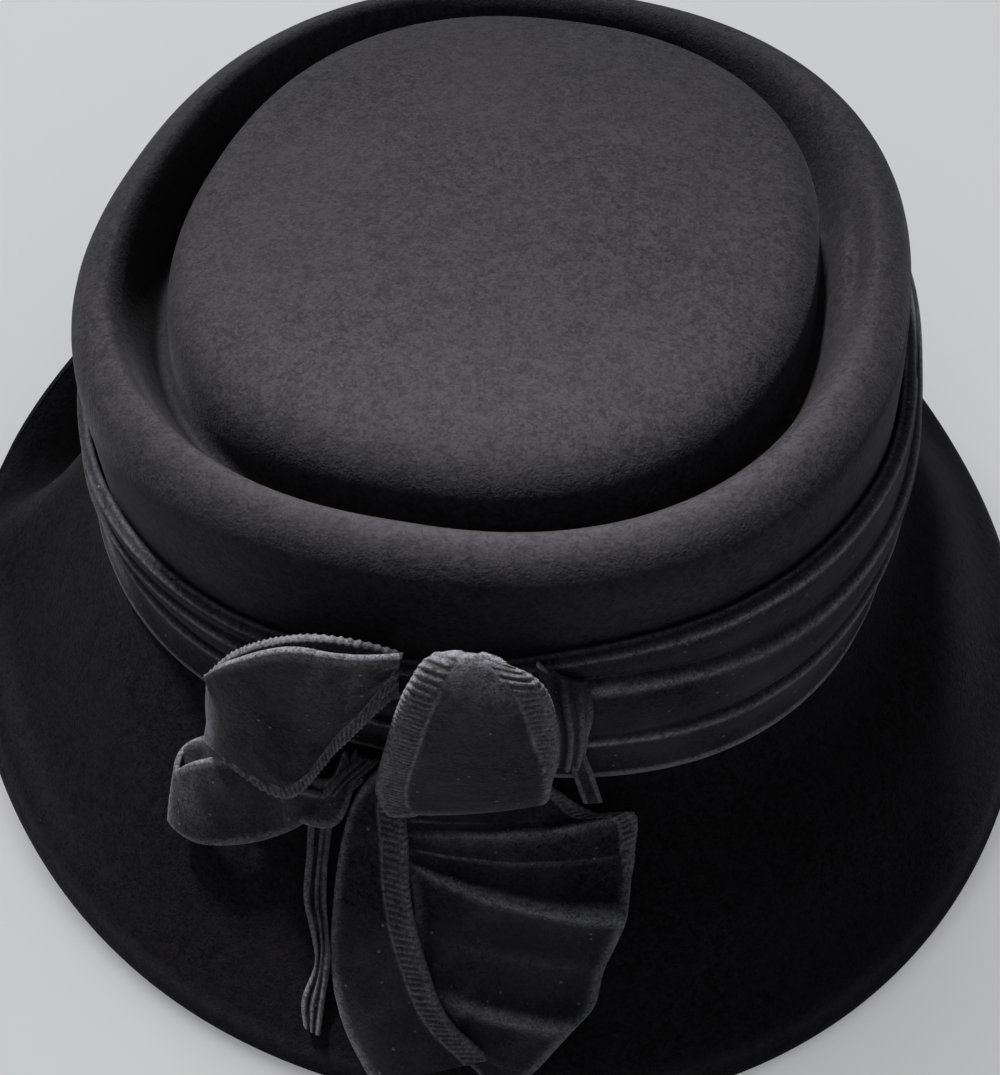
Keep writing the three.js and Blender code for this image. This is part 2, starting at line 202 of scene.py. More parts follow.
LOWER_LOOP = table(RIBBON_COLUMNS, [
    (-3, 1.05, 0.4, -4, 0.95, 0.45, 0),
    (-5, 1.25, 0.2, -6, 1.13, 0.2, 0),
    (-12, 1.28, 0.15, -14, 1.13, 0.2, 0),
    (-20, 1.37, 0.1, -21, 1.19, 0.15, 0),
    (-22.5, 1.44, 0.25, -23.5, 1.26, 0.3, 0),
    (-22.5, 1.45, 0.4, -22.5, 1.29, 0.6, 0),
    (-19, 1.45, 0.5, -19.5, 1.21, 0.95, 0.05),
    (-14, 1.39, 0.5, -15.5, 1.13, 0.95, 0.1),
    (-9.5, 1.31, 0.35, -10.5, 1.14, 0.75, 0.05),
    (-6.5, 1.24, 0.1, -6, 1.17, 0.35, 0),
    (-2.5, 1.06, 0.5, -3, 0.94, 0.55, 0),
])
FRONT_LOOP = table(RIBBON_COLUMNS, [
    (4.5, 0.56, 0, 14, 0.43, 0, 0),
    (6, 0.28, 0.15, 14.5, 0.2, 0.15, 0),
    (7, 0.06, 0.4, 13, 0.04, 0.4, 0),
    (6.5, -0.18, 0.85, 12.5, -0.18, 0.85, 0.1),
    (5, 0, 1.1, 15.5, -0.06, 1.05, 0.1),
    (2.5, 0.33, 1.15, 16.5, 0.2, 1.1, 0.1),
    (0, 0.96, 0.95, 15.5, 0.6, 0.9, 0.05),
    (0.5, 1.09, 0.6, 14, 0.93, 0.55, 0),
    (1, 1.08, 0.3, 13.5, 0.92, 0.3, 0),
])
NARROW_TAIL = table(RIBBON_COLUMNS, [
    (-2.5, 0.95, 0.45, -1, 0.94, 0.45, 0),
    (-5.5, 1.13, 0.3, -4, 1.11, 0.3, 0),
    (-7.5, 1.25, 0, -5.5, 1.23, 0, 0),
    (-7, 1.37, 0.05, -5.5, 1.36, 0, 0),
    (-6.5, 1.48, 0.1, -5, 1.48, 0, 0),
    (-5.5, 1.54, 0.15, -4.5, 1.54, 0, 0),
    (-5, 1.66, 0, -4, 1.64, 0.1, 0),
    (-5.5, 1.78, 0, -4, 1.78, 0, 0),
    (-5, 1.85, 0, -4, 1.86, 0, 0),
])
MIDDLE_TAIL = table(RIBBON_COLUMNS, [
    (0, 0.92, 0.45, 3.5, 0.89, 0.45, 0),
    (-2, 1.07, 0.3, 2, 1, 0.35, 0),
    (-3.5, 1.2, 0.1, 0.5, 1.12, 0.15, 0),
    (-4, 1.32, 0.05, 1, 1.23, 0.25, 0),
    (-4, 1.48, 0, 2, 1.39, 0.3, 0),
    (-3.5, 1.64, 0, 4, 1.56, 0.3, 0.05),
    (-1.5, 1.82, 0, 6.5, 1.71, 0.25, 0.05),
    (1, 1.95, 0, 10, 1.81, 0.2, 0),
])
WIDE_TAIL = table(RIBBON_COLUMNS, [
    (3, 0.9, 0.45, 11, 0.83, 0.45, 0),
    (1.5, 1.06, 0.3, 13, 0.93, 0.4, 0),
    (0.5, 1.16, 0, 14.5, 1, 0, 0),
    (0.5, 1.2, 0, 19.5, 1.09, 0.1, 0.05),
    (0.5, 1.24, 0, 24, 1.09, 0.3, 0.1),
    (1, 1.27, 0, 24, 1.23, 0.2, 0.05),
    (1, 1.29, 0, 23.5, 1.33, 0.1, 0),
    (1.5, 1.31, 0.05, 22.5, 1.4, 0.45, 0.1),
    (2.5, 1.41, 0, 22, 1.48, 0.1, -0.05),
    (3, 1.5, 0, 20.5, 1.57, 0.05, 0),
    (3.5, 1.59, 0, 19.5, 1.66, 0.1, 0.05),
    (4.5, 1.65, 0.05, 17.5, 1.7, 0.35, 0.1),
    (6, 1.74, 0, 16, 1.78, 0.1, 0),
    (8, 1.82, 0, 14, 1.86, 0, 0),
    (10, 1.88, 0, 12.5, 1.9, 0, 0),
])
KNOT = table(RIBBON_COLUMNS, [
    (15.5, 0.15, -0.1, 20.5, 0.3, -0.3, 0.1),
    (16, 0.33, -0.05, 20.5, 0.4, -0.1, 0.15),
    (16, 0.55, -0.05, 20, 0.63, -0.1, 0.15),
    (15.5, 0.79, -0.05, 19, 0.88, -0.2, 0.1),
])
TUCK = table(RIBBON_COLUMNS, [
    (17.5, 0.63, -0.1, 18.5, 0.62, -0.1, 0),
    (18, 0.89, -0.1, 19.5, 0.87, -0.1, 0),
    (19, 1.03, -0.1, 20.5, 1.03, -0.1, 0),
])

# Columns over a ribbon's overlocked edge, as shares of its width, and columns over the rest
HEM_COLUMNS = np.array([0, 0.06, 0.14, 0.28, 0.45, 0.62, 0.78, 0.9, 1.0, 1.12])
CLOTH_COLUMNS = 24

# The photo's camera: its eye before the hat is set over the origin, its axes, its lens and the photo's height
# in pixels, and the sensor that the lens is stated for
CAMERA_EYE = np.array([36.822, -172.491, 253.357])
CAMERA_RIGHT = (0.97247, 0.23299, 0.00312)
CAMERA_UP = (-0.19018, 0.78592, 0.58836)
CAMERA_LOOK = (-0.13463, 0.57275, -0.80860)
LENS_PIXELS = 1099.95
PHOTO_HEIGHT = 1075
SENSOR = 36.0


def colour_property(name, description, default):
    return FloatVectorProperty(name=name, description=description, default=default, subtype="COLOR")


class ClocheFelt(bpy.types.PropertyGroup):
    wall: FloatProperty(name="Felt Thickness", description="Thickness of the felt wall",
                        default=0.0026, unit="LENGTH")
    colour: colour_property("Felt Colour", "Colour of the brushed felt", (0.0235, 0.0222, 0.0252))
    brim: colour_property("Brim Colour", "Colour of the brim's longer nap", (0.007, 0.0062, 0.0078))
    fuzz_sheen: colour_property("Fuzz Colour", "Colour of the felt's standing fibres", (0.62, 0.6, 0.65))
    fibre: FloatProperty(name="Fibre Size", description="Size of the felt's mottling",
                         default=0.0009, unit="LENGTH")
    segments: IntProperty(name="Segments", description="Faces of the felt in one turn", default=256)


class ClocheVelvet(bpy.types.PropertyGroup):
    cloth: FloatProperty(name="Velvet Thickness", description="Thickness of the velvet with its pile",
                         default=0.0013, unit="LENGTH")
    colour: colour_property("Velvet Colour", "Colour down in the pile", (0.015, 0.014, 0.0163))
    sheen: colour_property("Pile Sheen", "Colour of the light that the pile catches", (0.5, 0.49, 0.56))
    # The thread colour is also the colour of the painted sheen on the velvet's edges, bends and fold crests.
    thread: colour_property("Thread Colour", "Colour of the overlocked edges", (0.25, 0.25, 0.27))
    hem: FloatProperty(name="Overlock Width", description="Width of a ribbon's overlocked edge",
                       default=0.0043, unit="LENGTH")
    stitch: FloatProperty(name="Stitch Length", description="Distance between two threads of the overlocking",
                          default=0.0014, unit="LENGTH")


class ClocheStage(bpy.types.PropertyGroup):
    floor: colour_property("Floor Colour", "Colour of the plain floor", (0.78, 0.78, 0.79))
    key: FloatProperty(name="Key Light", description="Power of the large soft light behind the hat",
                       default=28.0, unit="POWER")
    backdrop: FloatProperty(name="Floor Light", description="Power of the soft light for the floor alone",
                            default=54.0, unit="POWER")
    crown: FloatProperty(name="Crown Light", description="Power of the lamp turned on the front of the crown",
                         default=630.0, unit="POWER")
    fill: FloatProperty(name="Room Light", description="Strength of the light that comes from all round",
                        default=0.16)


def oval(turn, middle, half_width, front, back, squareness):
    """Points of a squarish oval at turns round it, flat on XY."""
    c = np.cos(np.radians(turn))
    s = np.sin(np.radians(turn))
    power = 2 / squareness
    reach = np.where(s < 0, front, back)
    x = middle[0] + half_width * np.sign(c) * np.abs(c) ** power
    y = middle[1] + reach * np.sign(s) * np.abs(s) ** power
    return np.stack([x, y], -1)


def around(rows, column, turn):
    """A column of a table that goes round the hat, smoothly between its rows."""
    turns = rows["turn"]
    values = rows[column]
    t = np.mod(turn, 360.0)
    count = len(turns)
    after = np.searchsorted(turns, t, side="right")

    def entry(i):
        wraps = np.floor_divide(i, count)
        return turns[i - wraps * count] + 360.0 * wraps, values[i - wraps * count]

    (ta, a), (tb, b), (tc, c), (td, d) = (entry(after + step) for step in (-2, -1, 0, 1))
    span = tc - tb
    slope_b = (c - a) / (tc - ta) * span
    slope_c = (d - b) / (td - tb) * span
    u = (t - tb) / span
    return ((2 * u**3 - 3 * u**2 + 1) * b + (u**3 - 2 * u**2 + u) * slope_b
            + (3 * u**2 - 2 * u**3) * c + (u**3 - u**2) * slope_c)


def hump(turn, middle, half):
    """A smooth hump over the turns: 1 at its middle and 0 beyond half its width."""
    gap = np.abs((turn - middle + 180) % 360 - 180)
    return np.where(gap < half, np.cos(np.pi / 2 * gap / half) ** 2, 0)


def smooth_line(points, places):
    """Points of the smooth line through points, at places counted in steps from its first point."""
    points = np.asarray(points, float)
    count = points.shape[-2]
    i = np.clip(np.floor(places).astype(int), 0, count - 2)
    u = (places - i)[:, None]
    before = 2 * points[..., :1, :] - points[..., 1:2, :]
    beyond = 2 * points[..., -1:, :] - points[..., -2:-1, :]
    padded = np.concatenate([before, points, beyond], axis=-2)
    p0, p1, p2, p3 = (padded[..., i + step, :] for step in range(4))
    d0, d1, d2 = (np.maximum(np.linalg.norm(b - a, axis=-1, keepdims=True) ** 0.5, 1e-3)
                  for a, b in ((p0, p1), (p1, p2), (p2, p3)))
    t1 = ((p1 - p0) / d0 - (p2 - p0) / (d0 + d1) + (p2 - p1) / d1) * d1
    t2 = ((p2 - p1) / d1 - (p3 - p1) / (d1 + d2) + (p3 - p2) / d2) * d1
    return ((2 * u**3 - 3 * u**2 + 1) * p1 + (u**3 - 2 * u**2 + u) * t1
            + (3 * u**2 - 2 * u**3) * p2 + (u**3 - u**2) * t2)


def unit(vectors):
    return vectors / np.maximum(np.linalg.norm(vectors, axis=-1, keepdims=True), 1e-12)


RIDGE_ROW = len(TIP_LINES["across"]) + len(RIDGE_LINES["inward"])
EDGE_ROW = RIDGE_ROW + len(WALL_LINES) + len(SLOPE_LINES) + len(EDGE_LINES) + 1


class FeltForm:
    """The felt's outer side, as a fine grid of places and normals that everything on the hat is set on."""

    TURN_STEP = 0.5
    ROW_STEPS = 12

    def __init__(self):
        turn = np.arange(0, 360, self.TURN_STEP)
        lines = self.lines(turn)
        places = np.arange(EDGE_ROW * self.ROW_STEPS + 1) / self.ROW_STEPS
        self.grid = smooth_line(lines, places)
        round_step = np.roll(self.grid, -1, axis=0) - np.roll(self.grid, 1, axis=0)
        row_step = np.gradient(self.grid, axis=1)
        normal = unit(np.cross(row_step, round_step))
        normal[:, 0] = (0, 0, 1)
        self.normals = normal

    def lines(self, turn):
        """The control points of the line from the middle of the tip to the edge of the brim, at each turn."""
        middle = np.broadcast_to(np.array(RIDGE_MIDDLE), (len(turn), 2))
        ridge = oval(turn, RIDGE_MIDDLE, RIDGE_HALF_WIDTH, RIDGE_HALF_LENGTH, RIDGE_HALF_LENGTH,
                     CROWN_SQUARENESS)
        tip_length = RIDGE_HALF_LENGTH - RIDGE_END_WIDTH
        tip = oval(turn, RIDGE_MIDDLE, RIDGE_HALF_WIDTH - RIDGE_SIDE_WIDTH, tip_length, tip_length,
                   CROWN_SQUARENESS)
        foot = oval(turn, FOOT_MIDDLE, FOOT_HALF_WIDTH, FOOT_HALF_LENGTH, FOOT_HALF_LENGTH, CROWN_SQUARENESS)
        edge = oval(turn, (0, BRIM_WIDEST), BRIM_HALF_WIDTH, BRIM_FRONT + BRIM_WIDEST,
                    BRIM_BACK - BRIM_WIDEST, BRIM_SQUARENESS)
        foot_z = FOOT_HEIGHT + FOOT_SLANT[0] * foot[:, 0] + FOOT_SLANT[1] * foot[:, 1]
        groove_z = RIDGE_HEIGHT - GROOVE_DEPTH
        across = around(BRIM_SECTIONS, "across", turn)[:, None]
        low = foot + (edge - foot) * across
        low_z = FOOT_HEIGHT * around(BRIM_SECTIONS, "low", turn)
        edge_z = FOOT_HEIGHT * around(BRIM_SECTIONS, "edge", turn)

        def lift(flat, height):
            return np.column_stack([flat, np.broadcast_to(height, len(flat))])

        points = [lift(middle, TIP_HEIGHT)]
        for share, drop in zip(TIP_LINES["across"], TIP_LINES["drop"]):
            points.append(lift(middle + (tip - middle) * share, TIP_HEIGHT - TIP_ROLL * drop))
        steep = np.sqrt(hump(turn, *STEEP_SIDE))
        crease = hump(turn, *SIDE_CREASE)
        for inward, rise, in_crease, on_steep in zip(*RIDGE_LINES.values()):
            sideways = in_crease * crease + on_steep * steep
            points.append(lift(ridge + (tip - ridge) * inward, groove_z + GROOVE_DEPTH * (rise + sideways)))
        top = points[-1]
        bottom = lift(foot, foot_z)
        points += [top + (bottom - top) * share for share in WALL_LINES]
        points += [lift(foot + (low - foot) * share, foot_z + (low_z - foot_z) * share)
                   for share in SLOPE_LINES]
        upturn = np.clip((edge_z - low_z) / FOOT_HEIGHT * 2, 0, 1)
        roll = BRIM_ROLL * (1 - upturn)
        for share, bulge in zip(EDGE_LINES, EDGE_BULGES):
            height = low_z + (edge_z - low_z) * share ** (1 + upturn) + roll * bulge
            points.append(lift(low + (edge - low) * share, height))
        points.append(lift(edge, edge_z))
        return np.stack(points, 1)

    def row_down(self, turn, down):
        """The row of a place given as down: 0 is the ridge's outermost line, 1 the foot, 2 the edge."""
        turn, down = np.broadcast_arrays(np.asarray(turn, float), np.asarray(down, float))
        across = around(BRIM_SECTIONS, "across", turn)
        stops = [np.zeros_like(across)]
        stops += [np.full_like(across, share) for share in WALL_LINES]
        stops += [1 + across * share for share in SLOPE_LINES]
        stops += [1 + across + (1 - across) * share for share in EDGE_LINES]
        stops += [np.full_like(across, 2.0)]
        stops = np.stack(stops, -1)
        i = np.clip((stops <= down[..., None]).sum(-1) - 1, 0, stops.shape[-1] - 2)
        low = np.take_along_axis(stops, i[..., None], -1)[..., 0]
        high = np.take_along_axis(stops, i[..., None] + 1, -1)[..., 0]
        return RIDGE_ROW + i + (down - low) / (high - low)

    def point(self, turn, row, out):
        """Points at turns and rows, moved out along the felt's normal."""
        t = np.mod(turn, 360.0) / self.TURN_STEP
        r = np.clip(np.asarray(row, float), 0, EDGE_ROW) * self.ROW_STEPS
        t, r, out = np.broadcast_arrays(t, r, np.asarray(out, float))
        i = np.floor(t).astype(int) % len(self.grid)
        k = np.minimum(np.floor(r).astype(int), self.grid.shape[1] - 2)
        u = (t - np.floor(t))[..., None]
        v = (r - k)[..., None]
        j = (i + 1) % len(self.grid)

        def blend(values):
            return ((values[i, k] * (1 - u) + values[j, k] * u) * (1 - v)
                    + (values[i, k + 1] * (1 - u) + values[j, k + 1] * u) * v)

        return blend(self.grid) + unit(blend(self.normals)) * out[..., None]

    def spot(self, turn, down, out):
        return self.point(turn, self.row_down(turn, down), out)


FELT = FeltForm()


def ripple(*places):
    """A gentle, unrepeating wave between -1 and 1 over the given places."""
    total = 0
    for step, place in enumerate(places):
        total = total + np.sin(place + 1.7 * step + 0.9 * np.sin(0.61 * place + 2.3 * step))
    return np.sin(total)


def new_piece(name, rings, wraps, node, material, values, caps=False, poles=False):
    """A closed mesh through rings of points, (rings, points, 3) in millimetres. One that wraps runs back to
    its first ring, caps close flat ends and poles round ones. Values are attributes with a number for each
    point."""
    rings = np.asarray(rings, float)
    count, size = rings.shape[:2]
    points = (rings.reshape(-1, 3) + STAND) * MM
    i = np.arange(count if wraps else count - 1)[:, None]
    j = np.arange(size)[None, :]
    k, m = (i + 1) % count, (j + 1) % size
    faces = np.stack([i * size + j, i * size + m, k * size + m, k * size + j], -1).reshape(-1, 4)
    a, b, c, d = (points[faces[:, n]] for n in range(4))
    volume = np.sum(a * (np.cross(b, c) + np.cross(c, d)))
    if caps:
        half = size // 2
        across = np.arange(half - 1)
        for start, order in ((0, (0, 3, 2, 1)), ((count - 1) * size, (0, 1, 2, 3))):
            cap = np.stack([across, across + 1, size - 2 - across, size - 1 - across], -1) + start
            faces = np.concatenate([faces, cap[:, order]])
    faces = faces.tolist()
    if poles:
        for start, sign in ((0, -1), ((count - 1) * size, 1)):
            middle = len(points)
            points = np.vstack([points, points[start:start + size].mean(0)])
            ends = [(start + n, start + (n + 1) % size, middle) for n in range(size)]
            faces += [end[::sign] for end in ends]
    if volume < 0:
        faces = [face[::-1] for face in faces]
    mesh = bpy.data.meshes.new(name)
    mesh.from_pydata(points.tolist(), [], faces)
    mesh.validate()
    for key, numbers in values.items():
        layer = mesh.attributes.new(key, "FLOAT", "POINT")
        layer.data.foreach_set("value", np.asarray(numbers, np.float32).reshape(-1))
    mesh.polygons.foreach_set("use_smooth", np.ones(len(mesh.polygons), bool))
    mesh.materials.append(material)
    mesh.update()
    piece = bpy.data.objects.new(name, mesh)
    bpy.context.collection.objects.link(piece)
    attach(piece, "root")
    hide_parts(node)
    return piece


OUTER_ROWS = np.concatenate([[0.5, 1.0], np.arange(1.25, EDGE_ROW - 0.7, 0.25)])
EDGE_ANGLES = np.radians(np.arange(0, 181, 22.5))


def felt_rows():
    """The row of each of the felt's rings, with those of its inner side counted on from the edge."""
    edge = np.full(len(EDGE_ANGLES), float(EDGE_ROW))
    return np.concatenate([OUTER_ROWS, edge, 2 * EDGE_ROW - OUTER_ROWS[::-2]])


def felt_painted_highlight_and_shade(turn, row):
    """Painted highlights and painted shade on the felt, as shares up to 1: painted highlights on the ridge,
    the tip's front, and as lines, a fold and a rim near the brim's edge. Below 0 is painted shade: in the
    groove, in the hollow of the turned-up brim and on the ridge's left and right sides."""
    def line(place, half):
        return np.exp(-((row - place) / half) ** 2)

    back = hump(turn, 150, 70)
    crest = RIDGE_ROW - 3
    # Painted highlights: the ridge's crest, brightest at the front, the tip's front, the brim's edge lines,
    # the fold and the rim.
    ridge = line(crest, 0.8) * (0.3 + 0.7 * hump(turn, 278, 80))
    tip = 0.55 * line(3, 1.3) * hump(turn, 275, 95)
    brim = line(EDGE_ROW - 1.5, 0.3) * (1 - back) + line(EDGE_ROW - 2.5, 0.4) * hump(turn, 221, 30)
    fold = np.exp(-((turn - 197) / 2.2) ** 2) * hump(row, RIDGE_ROW + 6.5, 4.5)
    rim = 1.2 * line(EDGE_ROW - 0.3, 0.5) * hump(turn, 160, 50)
    # Painted shade: the groove's left side, the hollow of the turned-up brim and the ridge's left and right
    # sides.
    groove = line(9.6, 1.7) * hump(turn, 203, 72)
    hollow = line(RIDGE_ROW + 6.6, 1.3) * hump(turn, 181, 15)
    sides = line(crest, 1.3) * (hump(turn, 192, 42) + hump(turn, 12, 48)) * 0.45
    return np.clip(np.maximum(ridge + tip + brim, fold + rim) - groove - hollow - sides, -1, 1)


def felt_mesh_rings(wall, segments):
    """The felt's rings, out along its outer side, round the brim's edge and back along its inner side."""
    turn = np.arange(segments) * 360 / segments
    edge = FELT.point(turn, EDGE_ROW, 0)
    outward = unit(edge - FELT.point(turn, EDGE_ROW - 0.5, 0))
    normal = unit(FELT.point(turn, EDGE_ROW, 1) - edge)
    half = wall / 2
    middle = edge - outward * half - normal * half
    rings = [FELT.point(turn, row, 0) for row in OUTER_ROWS]
    rings += [middle + half * (normal * math.cos(a) + outward * math.sin(a)) for a in EDGE_ANGLES]
    rings += [FELT.point(turn, row, -wall) for row in OUTER_ROWS[::-2]]
    return np.stack(rings)


def sash_mesh_rings(cloth):
    """The sash's rings, one at each turn: down over its folds, round its lower edge and up its inner side.
    With them come how much painted sheen each point has on its fold crests and edges, and how many points of
    a ring lie outside."""
    turn = np.arange(SASH_TURNS) * 360 / SASH_TURNS
    fold = np.stack(list(SASH_FOLD.values()), -1)
    profile = smooth_line(fold, np.linspace(0, len(fold) - 1, SASH_FOLD_SAMPLES, endpoint=False))
    columns = ["top", "upper", "lower", "bottom"]
    at = {c: around(SASH_LINES, c, turn) for c in columns}
    puff_share = around(SASH_LINES, "puff", turn)

    def place(down, out):
        share = np.clip((down - at["top"]) / (at["bottom"] - at["top"]), 0, 1)
        puff = SASH_PUFF * puff_share * np.sin(np.pi * share**0.8) ** 2
        return FELT.spot(turn, down, CLEARANCE + out + puff)

    # Painted sheen on the folds' crests and edges, dimmer over the left side and the back.
    paling = (1 - 0.55 * hump(turn, *SASH_DIM_SHEEN_LEFT)) * (1 - 0.6 * hump(turn, *SASH_DIM_SHEEN_BACK))
    flat = 1 - 0.35 * hump(turn, *SASH_FLAT_SIDE)
    loose = hump(turn, *SASH_LOOSE_BACK)
    outside, thread_and_sheen = [], []
    for k, (start, end) in enumerate(zip(columns, columns[1:])):
        depth = SASH_FOLD_DEPTH * (0.88 + 0.12 * ripple(turn / 13 + 4 * k)) * flat
        depth *= 1 + 0.35 * loose * ripple(turn / 23 + 2 * k)
        wander = (0.006 + 0.022 * loose) * ripple(turn / 19 + 3 * k) * (k > 0)
        for along, rise in profile:
            down = at[start] + (at[end] - at[start]) * along + wander * (1 - along)
            crumple = (0.16 + 0.24 * loose) * ripple(turn / 5.1 + 2 * k, 14 * down + turn / 9)
            outside.append(place(down, cloth + depth * rise + crumple * min(1, 6 * along)))
            # A painted highlight along each fold's crest.
            thread_and_sheen.append(np.exp(-((along - 0.1) / 0.055) ** 2) * (0.8 + 0.2 * ripple(turn / 7 + 5 * k)) * paling)
    inside = [place(at["bottom"] + (at["top"] - at["bottom"]) * share, 0) for share in np.linspace(0, 1, 10)]
    lower = place(at["bottom"] + 0.004, cloth * 0.5)
    upper = place(at["top"] - 0.004, cloth * 0.5)
    # Painted highlights along the sash's lower and upper edges.
    edge = 0.9 * paling
    thread_and_sheen[-1] = edge
    thread_and_sheen += [edge] + [np.zeros(len(turn))] * len(inside) + [edge * 0.6]
    return np.stack(outside + [lower] + inside + [upper], 1), np.stack(thread_and_sheen, 1), len(outside)


def bends(points, axis, size):
    """How sharply a grid of points bends outwards along an axis, as a share of a bend of the given radius."""
    normal = grid_normals(points)
    before = np.diff(points, axis=axis, prepend=np.take(points, [0], axis=axis))
    after = np.diff(points, axis=axis, append=np.take(points, [-1], axis=axis))
    step = np.maximum((np.linalg.norm(before, axis=-1) + np.linalg.norm(after, axis=-1)) / 2, 1e-6)
    curve = -np.einsum("...k,...k->...", after - before, normal) / step**2
    return np.clip(curve * size, 0, 1)


def grid_normals(points):
    return unit(np.cross(np.gradient(points, axis=0), np.gradient(points, axis=1)))


def ribbon_sheet(rows, base, spacing, hem):
    """A ribbon's outer side as a grid of points, each with its distance along and from both of its edges, and
    the place in the table of each line across it."""
    turns = [BOW_TURN + rows[column] for column in ("left_turn", "right_turn")]
    left = FELT.spot(turns[0], rows["left_down"], base + BOW_DEPTH * rows["left_off"])
    right = FELT.spot(turns[1], rows["right_down"], base + BOW_DEPTH * rows["right_off"])
    along = np.concatenate([left[1:2] - left[:1], left[2:] - left[:-2], left[-1:] - left[-2:-1]])
    outward = unit(np.cross(along, right - left))
    middle = FELT.spot(sum(turns) / 2, (rows["left_down"] + rows["right_down"]) / 2,
                       base + BOW_DEPTH * (rows["left_off"] + rows["right_off"]) / 2)
    middle = middle + outward * BOW_DEPTH * rows["belly"][:, None]
    coarse = np.linspace(0, len(left) - 1, 400)
    run = np.linalg.norm(np.diff(smooth_line(middle, coarse), axis=0), axis=-1)
    reach = np.concatenate([[0], np.cumsum(run)])
    stations = max(int(reach[-1] / spacing), 12)
    places = np.interp(np.linspace(0, reach[-1], stations), reach, coarse)
    a, b, c = (smooth_line(line, places)[:, None] for line in (left, middle, right))
    width = np.linalg.norm(c - a, axis=-1)
    hem = np.minimum(hem, 0.3 * width)
    border = hem * HEM_COLUMNS[None, :] / width
    start, end = border[:, -1:], 1 - border[:, -1:]
    inner = start + (end - start) * np.linspace(0, 1, CLOTH_COLUMNS)[None, 1:-1]
    s = np.concatenate([border, inner, 1 - border[:, ::-1]], axis=1)[..., None]
    sheet = a * (1 - s) * (1 - 2 * s) + b * 4 * s * (1 - s) + c * s * (2 * s - 1)
    lengths = [np.concatenate([[0], np.cumsum(np.linalg.norm(np.diff(sheet[:, j], axis=0), axis=-1))])
               for j in (0, -1)]
    s = s[..., 0]
    distance = lengths[0][:, None] * (1 - s) + lengths[1][:, None] * s
    return sheet, distance, s * width, (1 - s) * width, places


def smooth_step(value, low, high):
    u = np.clip((value - low) / (high - low), 0, 1)
    return u * u * (3 - 2 * u)


def make_ribbon(name, rows, base, velvet, material, node, held=None, hems=(1, 1), gather=(0, 0),
                pleats=0, hidden=(9, 0)):
    """A velvet ribbon with overlocked edges. Hems are shares of the overlocking's width on its left and right
    edges, each one number or one for each row, and gather is the depth of the puckers at its start and its
    end. Pleats is a number of lengthwise folds, and hidden the lengths at its start and its end, tucked into
    the bow, over which its pale marks fade out as painted shade. Its pale marks are the overlock's real
    threads and a painted sheen along its edges and bends."""
    cloth = velvet.cloth / MM
    stitch = velvet.stitch / MM
    hem = velvet.hem / MM
    widest = max(np.max(hems[0]), np.max(hems[1]), 0.25)
    sheet, run, from_left, from_right, places = ribbon_sheet(rows, base, stitch / 6, hem * widest)
    count = len(rows["belly"])
    width = from_left + from_right
    share = from_left / width
    length = run[-1].mean()
    normal = grid_normals(sheet)
    thread = (0.5 + 0.5 * np.cos(2 * np.pi * (run / stitch + 0.22 * ripple(run / 2.6)))) ** 1.4
    thread *= 0.82 + 0.18 * ripple(run / 1.1, from_left / 1.3)
    bound = np.zeros_like(run)
    thread_and_sheen = np.zeros_like(run)
    for side, distance in zip(hems, (from_left, from_right)):
        cover = hem * np.interp(places, np.arange(count), np.broadcast_to(side, count))[:, None]
        here = smooth_step(cover, 0.6, 1.2)
        band = here * (1 - smooth_step(distance, 0.85 * cover, cover + 0.01))
        rails = np.exp(-((distance - cover) / 0.35) ** 2) * 0.7 * here
        # A painted sheen along every edge of the ribbon.
        fuzz_sheen = 0.7 * np.exp(-(distance / np.minimum(1.3, 0.13 * width)) ** 2)
        bound = np.maximum(bound, band)
        thread_and_sheen = np.maximum(thread_and_sheen, np.maximum(np.maximum(band * (0.12 + 0.75 * thread), rails), fuzz_sheen))
    relief = bound * (0.1 + 0.34 * thread)
    starts = np.exp(-run / 9)
    ends = np.exp(-(length - run) / 9)
    pucker = (gather[0] * starts + gather[1] * ends) * np.sin(share * 21 + 2 * ripple(run / 7))
    crumple = 0.25 * ripple(run / 6.5, from_left / 5.5 + run / 11)
    folds = 0.3 * np.sin(2 * np.pi * pleats * share + 0.8 * ripple(run / 5)) if pleats else 0
    lift = pucker + crumple + folds
    shape = sheet + normal * lift[..., None]
    # Painted highlights where the ribbon bends outwards.
    thread_and_sheen = np.maximum(thread_and_sheen, np.maximum(0.8 * bends(shape, 0, 3.5), 0.6 * bends(shape, 1, 2.2)))
    # Over the lengths tucked into the bow the pale marks fade out, as painted shade.
    for reach, place in zip(hidden, (run, length - run)):
        if reach:
            thread_and_sheen *= 1 - 0.85 * np.exp(-(place / reach) ** 2)
    top = sheet + normal * (lift + relief)[..., None]
    under = sheet + normal * (lift - cloth - 0.3 * relief)[..., None]
    middle = (top + under) / 2
    half = np.linalg.norm(top - under, axis=-1, keepdims=True) / 2
    sides = []
    for j, inward in ((0, 1), (-1, -2)):
        outward = 0.86 * unit(sheet[:, j] - sheet[:, inward])
        for tilt in (0.5, -0.5):
            sides.append((middle[:, j] + half[:, j] * (outward + tilt * normal[:, j]))[:, None])
    rings = np.concatenate([sides[0], top, sides[2], sides[3], under[:, ::-1], sides[1]], axis=1)
    first, last = thread_and_sheen[:, :1], thread_and_sheen[:, -1:]
    ring_thread_and_sheen = np.concatenate([first, thread_and_sheen, last, last, thread_and_sheen[:, ::-1], first], axis=1)
    piece = new_piece(name, rings, False, node, material, {"thread_and_sheen": ring_thread_and_sheen}, caps=True)
    if held is None:
        return piece
    return piece


def link(tree, *pairs):
    for source, target in pairs:
        tree.links.new(source, target)


